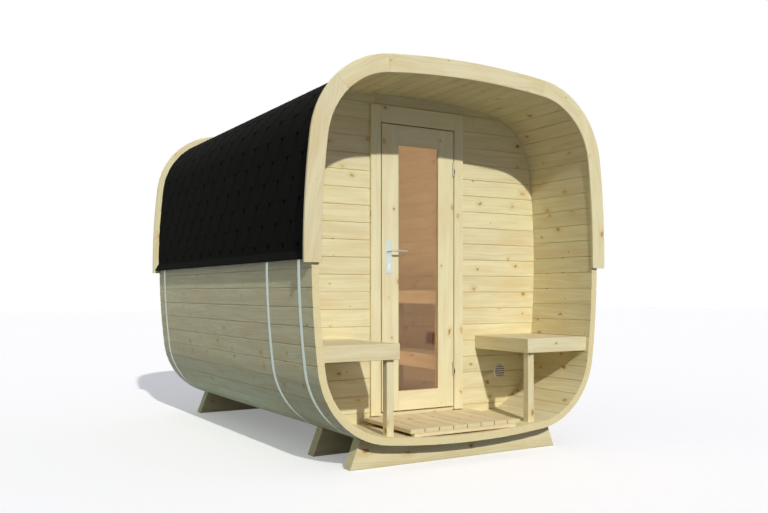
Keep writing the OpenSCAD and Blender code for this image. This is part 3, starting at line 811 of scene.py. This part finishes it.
# %% Porch benches
INTO = 0.008                    # how far a board's hidden end reaches into the stave wall
FOOT_INTO = 0.004               # and a leg's foot into the bowed floor
APRON_T, APRON_HEIGHT = 0.026, 0.093
LEG, SEAT_T = 0.048, 0.024
LEDGER_T, LEDGER_HEIGHT = 0.025, 0.045
SEAT_BOARDS, SEAT_GAP = 5, 0.0007


def handed_board(bm, sign, low, high, grain, bevel=0.002):
    """A board that is given for the right bench, and mirrored for the left one."""
    x0, x1 = sorted((sign * low[0], sign * high[0]))
    board(bm, (x0, *low[1:]), (x1, *high[1:]), grain, bevel)


for sign, name in ((-1, "left"), (1, "right")):
    low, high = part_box("bench_%s_frame" % name)
    edge, outer = min(abs(low.x), abs(high.x)), max(abs(low.x), abs(high.x)) + INTO
    inside, behind = edge + APRON_T, low.y + APRON_T
    apron_foot, seat_foot = high.z - APRON_HEIGHT, high.z - SEAT_T
    bm = empty_mesh()
    handed_board(bm, sign, (edge, low.y, apron_foot), (outer, behind, high.z), 0)
    handed_board(bm, sign, (edge, behind + HAIR, apron_foot), (inside, high.y, high.z), 1)
    handed_board(bm, sign, (inside, behind, low.z - FOOT_INTO),
                 (inside + LEG, behind + LEG, seat_foot), 2)
    handed_board(bm, sign, (inside, high.y - LEDGER_T, seat_foot - LEDGER_HEIGHT),
                 (outer, high.y, seat_foot), 0, ARRIS)
    piece(bm, "bench_%s_boards" % name, "sauna", TIMBER, ["bench_%s_frame" % name])
    low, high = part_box("bench_%s_seat" % name)
    width = (high.y - low.y) / SEAT_BOARDS
    bm = empty_mesh()
    for i in range(SEAT_BOARDS):
        y0, y1 = low.y + i * width + SEAT_GAP, low.y + (i + 1) * width - SEAT_GAP
        handed_board(bm, sign, (inside, y0, low.z), (outer, y1, high.z), 0)
    piece(bm, "seat_%s_boards" % name, "sauna", [seat, spruce_end],
          ["bench_%s_seat" % name])

# %% [markdown]
# ## Duckboard
# Eight slats run from the rim to the door on three bearers. The bearers are straight underneath, and
# only their ends rest on the bowed floor.

# %% Duckboard
SLATS, SLAT_GAP, SLAT_T = 8, 0.006, 0.024
BEARERS, BEARER, BEARER_REST = 3, 0.045, 0.04
BEARER_INSET, BEARER_BACK = 0.03, 0.004
low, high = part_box("duckboard")
bm = empty_mesh()
pitch = (high.x - low.x + SLAT_GAP) / SLATS
for i in range(SLATS):
    x0 = low.x + i * pitch
    board(bm, (x0, low.y, high.z - SLAT_T), (x0 + pitch - SLAT_GAP, high.y, high.z), 1, ARRIS)
half, floor_r = high.x - BEARER_INSET, TOP_R - STAVE
bearer_foot = bottom + TOP_R - math.sqrt(floor_r ** 2 - (half - BEARER_REST) ** 2)
room = high.y - low.y - 2 * BEARER_BACK - BEARER
for i in range(BEARERS):
    y0 = low.y + BEARER_BACK + i * room / (BEARERS - 1)
    board(bm, (-half, y0, bearer_foot), (half, y0 + BEARER, high.z - SLAT_T), 0, ARRIS)
piece(bm, "duckboard_slats", "sauna", [tread, spruce_end], ["duckboard"])

# %% [markdown]
# ## Cradles
# Three beams hollowed to the shell carry it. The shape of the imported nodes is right, so a merged copy
# gets bevelled edges and grain along the beam.

# %% Cradles
HOLLOW_EDGE, END_TOP = 0.19, 0.17       # heights over which a beam has no bevel, and no sawn end
for name in ("cradle_front", "cradle_middle", "cradle_rear"):
    bm = clean_copy(name)
    edges = [e for e in bm.edges if sharp(e, 0.6) and max(v.co.z for v in e.verts) < HOLLOW_EDGE]
    bevel_edges(bm, edges, 0.002)
    lay_grain(bm, bm.faces[:], 0)
    for face in bm.faces:
        sawn = abs(face.normal.x) > 0.8 and face.calc_center_median().z < END_TOP
        face.material_index = 1 if sawn else 0
    piece(bm, "beam_" + name, "sauna", [beam, beam_end], [name])

# %% [markdown]
# ## Room benches
# Two steps of benches stand along the right wall: boards on top, an apron in front, three legs each.

# %% Room benches
WALL_IN = 0.999                 # the upper bench's boards end inside the stave wall
ROOM_SEAT_T, ROOM_GAP, ROOM_APRON = 0.028, 0.002, 0.104
LEG_INSET, LEG_BACK, UNDER, LEG_INTO = 0.02, 0.0255, 0.0285, 0.003
for name, boards_across in (("upper", 4), ("lower", 2)):
    low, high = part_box("room_bench_" + name)
    edge, top, length = low.x, high.z, high.y - low.y
    width = ((WALL_IN if name == "upper" else high.x) - edge) / boards_across
    bm = empty_mesh()
    for i in range(boards_across):
        x0, x1 = edge + i * width + ROOM_GAP, edge + (i + 1) * width - ROOM_GAP
        board(bm, (x0, low.y, top - ROOM_SEAT_T), (x1, high.y, top), 1, 0.003)
    board(bm, (edge, low.y, top - ROOM_APRON), (edge + APRON_T, high.y, top - UNDER), 1)
    x0 = edge + LEG_BACK
    for along in (LEG_INSET, (length - LEG) / 2, length - LEG - LEG_INSET):
        y0 = low.y + along
        board(bm, (x0, y0, low.z - LEG_INTO), (x0 + LEG, y0 + LEG, top - UNDER), 2)
    piece(bm, "room_bench_%s_boards" % name, "sauna", TIMBER, ["room_bench_" + name])

# %% [markdown]
# ## Metal, glass and vents
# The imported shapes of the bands, the fittings, the pane and the room vent are right, so they stay and
# get their finishes. The bands are stainless strip, which mirrors the sky softly along its rolled
# length. The door plates are satin stainless and the hinges are zinc-plated. The pane is bronze-tinted
# safety glass, and the room vent is stained wood.

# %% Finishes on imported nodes
def vary_roughness(tree, shader, waves, low, high):
    """Lets the roughness run from low to high in a noise with these many waves a metre."""
    pattern = noise(tree, own_place(tree), waves)
    tree.links.new(spread(tree, pattern, 0.0, 1.0, low, high), shader.inputs["Roughness"])
    return pattern


# Stainless strip has rolling lines along it, so its gleam is drawn out round the shell.
strip, tree, shader = new_material("stainless_strip", "#B5C2B9", 0.38, metallic=1.0)
vary_roughness(tree, shader, (12, 900, 12), 0.30, 0.46)
finish_nodes(strip, ["band_front", "band_middle", "band_rear"])

# Satin stainless is brushed upright with a fine belt: an even, pale, slightly streaked sheen.
satin, tree, shader = new_material("satin_stainless", "#D4DDD9", 0.3, metallic=1.0)
vary_roughness(tree, shader, (900, 900, 20), 0.22, 0.40)
finish_nodes(satin, ["handle_plates"])

# Zinc plating is dull, with cloudy patches a few millimetres across.
zinc, tree, shader = new_material("zinc_plated_steel", "#BDB5A4", 0.45, metallic=1.0)
cloud = vary_roughness(tree, shader, (180, 180, 180), 0.36, 0.54)
plating = ramp(tree, cloud, [(0.35, "#B3AB9A"), (0.65, "#C7BFAE")])
tree.links.new(plating, shader.inputs["Base Color"])
finish_nodes(zinc, ["hinges_frame_half", "hinges_door_half"])

# Bronze safety glass takes out blue and green. A faint film with wiped streaks softens fine lines
# behind it.
glass, tree, shader = new_material("bronze_tinted_glass", "#DABFB0", 0.07)
shader.inputs["Transmission Weight"].default_value = 1.0
shader.inputs["IOR"].default_value = 1.5
vary_roughness(tree, shader, (9, 9, 2.5), 0.04, 0.10)
finish_nodes(glass, ["door_glass"])

# Stained wood lets its darker growth lines show through the brown.
stained, tree, shader = new_material("dark_stained_wood", "#8A5228", 0.55)
streak = noise(tree, own_place(tree), (200, 12, 200))
wood = ramp(tree, streak, [(0.3, "#8C5326"), (0.7, "#B4763F")])
tree.links.new(wood, shader.inputs["Base Color"])
finish_nodes(stained, ["room_vent"])
print("finishes", [m.name for m in (strip, satin, zinc, glass, stained)])

# %% [markdown]
# ## Wall vent
# The vent is a painted round cover: a turned ring with a sleeve through the wall, six blades that slope
# down outwards to shed rain, and a fine dark gauze behind them.

# %% Turning and blocks
def turned(bm, profile, centre, axis="Y", closed=False, steps=48):
    """Spins an outline of (radius, way along the axis) round a line along Y or X."""
    def place(radius, way):
        return Vector((radius, way, 0) if axis == "Y" else (way, radius, 0))
    others = set(bm.verts)
    verts = [bm.verts.new(centre + place(*point)) for point in profile]
    pairs = list(zip(verts, verts[1:])) + ([(verts[-1], verts[0])] if closed else [])
    edges = [bm.edges.new(pair) for pair in pairs]
    bmesh.ops.spin(bm, geom=verts + edges, cent=centre, axis=place(0, 1), angle=2 * math.pi, steps=steps,
                   use_merge=True)
    bmesh.ops.remove_doubles(bm, verts=[v for v in bm.verts if v not in others], dist=0.0001)


def block(bm, size, centre, tilt=0.0, material=0):
    """A box, turned about X by tilt."""
    made = bmesh.ops.create_cube(bm, size=1)["verts"]
    bmesh.ops.scale(bm, verts=made, vec=size)
    bmesh.ops.rotate(bm, verts=made, cent=(0, 0, 0), matrix=Matrix.Rotation(tilt, 3, "X"))
    bmesh.ops.translate(bm, verts=made, vec=centre)
    for face in faces_of(made):
        face.material_index = material


print("turning ready")

# %% Wall vent
# Sprayed paint has a slight orange peel, which breaks its sheen.
painted, tree, shader = new_material("painted_vent_cover", "#F6F4EE", 0.5)
roughen(tree, shader, noise(tree, own_place(tree), (300, 300, 300), 1.0), 0.0002, 0.5)

# Gauze is a weave of wires 1.5 mm apart, so it is darker than the blades and finely chequered.
gauze, tree, shader = new_material("dark_insect_gauze", "#8C8278", 0.8)
weave = add(tree, "TexChecker", {"Vector": own_place(tree), "Scale": 1 / 0.0015}, out=1)
wires = ramp(tree, weave, [(0.0, "#7E756B"), (1.0, "#9A9085")])
tree.links.new(wires, shader.inputs["Base Color"])

RIM, RIM_ROUND, SLEEVE_R, THROAT_R = 0.0035, 0.0015, 0.0398, 0.037
FLANGE = -0.003                 # back of the ring's field, where the throat starts
BLADES, BLADE_DEPTH, BLADE_T, BLADE_TILT = 6, 0.0074, 0.0014, math.radians(55)
BLADE_Y, GAUZE_Y = -0.0062, (-0.0034, -0.0031)
low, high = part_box("wall_vent")
wall_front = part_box("front_wall_right")[0].y
centre = Vector(((low.x + high.x) / 2, wall_front, (low.z + high.z) / 2))
radius, face_y, back = (high.x - low.x) / 2, low.y - wall_front, high.y - wall_front
field = radius - RIM
bm = bmesh.new()
turned(bm, [(radius, 0), (radius, face_y + 0.003), (radius - RIM_ROUND, face_y), (field + 0.001, face_y),
            (field, face_y + 0.001), (field, FLANGE), (THROAT_R, FLANGE), (THROAT_R, back),
            (SLEEVE_R, back), (SLEEVE_R, 0)], centre, closed=True, steps=64)
for i in range(BLADES):
    z = (i + 0.5) * 2 * field / BLADES - field
    length = 2 * math.sqrt((field + 0.001) ** 2 - z ** 2)
    block(bm, (length, BLADE_DEPTH, BLADE_T), centre + Vector((0, BLADE_Y, z)), BLADE_TILT)
before = len(bm.faces)
edge = field - 0.0003
turned(bm, [(0, GAUZE_Y[0]), (edge, GAUZE_Y[0]), (edge, GAUZE_Y[1]), (0, GAUZE_Y[1])], centre)
bm.faces.ensure_lookup_table()
for face in bm.faces[before:]:
    face.material_index = 1
piece(bm, "vent_cover", "sauna", [painted, gauze], ["wall_vent"])

# %% [markdown]
# ## Lever handle and lock cylinder
# The lever is turned bar: a neck out of the plate on each side and a slim grip with a rounded end, on
# one square spindle. The lock cylinder is a turned plug with a web below it, and its key slot is a thin
# dark plate on the face, painted shade where the real slot is a hole.

# %% Lever handle
# The lever is brushed along its grip, so its sheen is drawn out that way.
brushed_steel, tree, shader = new_material("brushed_steel_lever", "#C2C6BE", 0.42, metallic=1.0)
vary_roughness(tree, shader, (20, 900, 900), 0.34, 0.50)

NECK_R, GRIP_R, COLLAR_R = 0.0065, 0.0055, 0.0088
REACH, SPINDLE, LEVER_END = 0.048, 0.0078, 0.009
low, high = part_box("handle_lever")
axle = Vector((low.x + LEVER_END, 0, (low.z + high.z) / 2))
grip_length = high.x - axle.x
bm = bmesh.new()
for face_y, side in ((leaf_low.y, -1), (leaf_high.y, 1)):
    grip_y = face_y + side * REACH
    turned(bm, [(0, face_y), (COLLAR_R, face_y), (COLLAR_R, face_y + side * 0.007),
                (NECK_R, face_y + side * 0.010), (NECK_R, grip_y),
                (NECK_R * 0.7, grip_y + side * NECK_R * 0.7), (0, grip_y + side * NECK_R)], axle)
    turned(bm, [(0, -NECK_R), (NECK_R * 0.7, -NECK_R * 0.7), (NECK_R, 0), (GRIP_R, 0.02),
                (GRIP_R, grip_length - 0.004), (GRIP_R * 0.6, grip_length - 0.0015), (0, grip_length)],
           axle + Vector((0, grip_y, 0)), axis="X")
middle = Vector((0, (leaf_low.y + leaf_high.y) / 2, 0))
block(bm, (SPINDLE, leaf_high.y - leaf_low.y, SPINDLE), axle + middle)
piece(bm, "lever_handle", "lever", [brushed_steel], ["handle_lever"])

# %% Lock cylinder
# Nickel plating is bright with a fine wear. The key slot's dark colour is painted shade, and it gleams
# only in places.
nickel, tree, shader = new_material("nickel_plated_brass", "#F6FAF6", 0.4, metallic=1.0)
vary_roughness(tree, shader, (600, 600, 600), 0.34, 0.46)
slot_shade_paint, tree, shader = new_material("lock_slot_painted_shade", "#2A2824", 0.6)
vary_roughness(tree, shader, (600, 600, 600), 0.4, 0.8)

CYLINDER_R, CYLINDER_UP, PROUD = 0.0083, 0.057, 0.0006
WEB, WEB_HEIGHT, WEB_DOWN = 0.0098, 0.019, 0.0145
SLOT, SLOT_HEIGHT, SLOT_PROUD = 0.0016, 0.008, 0.0001
low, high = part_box("handle_plates")
centre = Vector(((low.x + high.x) / 2, 0, low.z + CYLINDER_UP))
bm = bmesh.new()
turned(bm, [(0, low.y - PROUD), (CYLINDER_R, low.y - PROUD), (CYLINDER_R, high.y + PROUD),
            (0, high.y + PROUD)], centre, steps=32)
for y in (low.y, high.y):
    block(bm, (WEB, 2 * PROUD, WEB_HEIGHT), centre + Vector((0, y, -WEB_DOWN)))
    # The slot is a thin dark plate just proud of the plug: painted shade where the real slot is a hole.
    block(bm, (SLOT, 2 * (PROUD + SLOT_PROUD), SLOT_HEIGHT), centre + Vector((0, y, 0)), material=1)
piece(bm, "lock_cylinder", "door", [nickel, slot_shade_paint])

# %% [markdown]
# ## Soft lamps
# Tinted glass shows what is behind it only when there is light there. One soft lamp under the ceiling
# lights the walls from above, and another along the left wall reaches under the benches. A third lies
# on the floor along the left side, where a reflector would, and lights the turn of the shell from
# below. Neither the camera nor the glass sees them.

# %% Soft lamps
ROOM_LIGHT, REFLECTED_LIGHT = (1.0, 0.95, 0.92), (0.42, 0.84, 1.0)


def soft_lamp(name, place, turn_y, size, power, colour):
    data = bpy.data.lights.new(name, "AREA")
    data.shape = "RECTANGLE"
    data.size, data.size_y = size
    data.energy = power
    data.color = colour
    obj = link_object(name, data)
    obj.location = place
    obj.rotation_euler = (0, math.radians(turn_y), 0)
    obj.visible_camera = obj.visible_glossy = obj.visible_transmission = False


soft_lamp("ceiling_lamp", (-0.4, 0.26, 1.98), -58, (0.8, 1.8), 9, ROOM_LIGHT)
soft_lamp("left_wall_lamp", (-0.82, 0.26, 0.5), -82, (0.4, 1.8), 8.5, ROOM_LIGHT)
soft_lamp("floor_lamp", (-0.98, 0.35, 0.01), 180, (0.24, 2.0), 0.45, REFLECTED_LIGHT)
print("soft lamps ready")
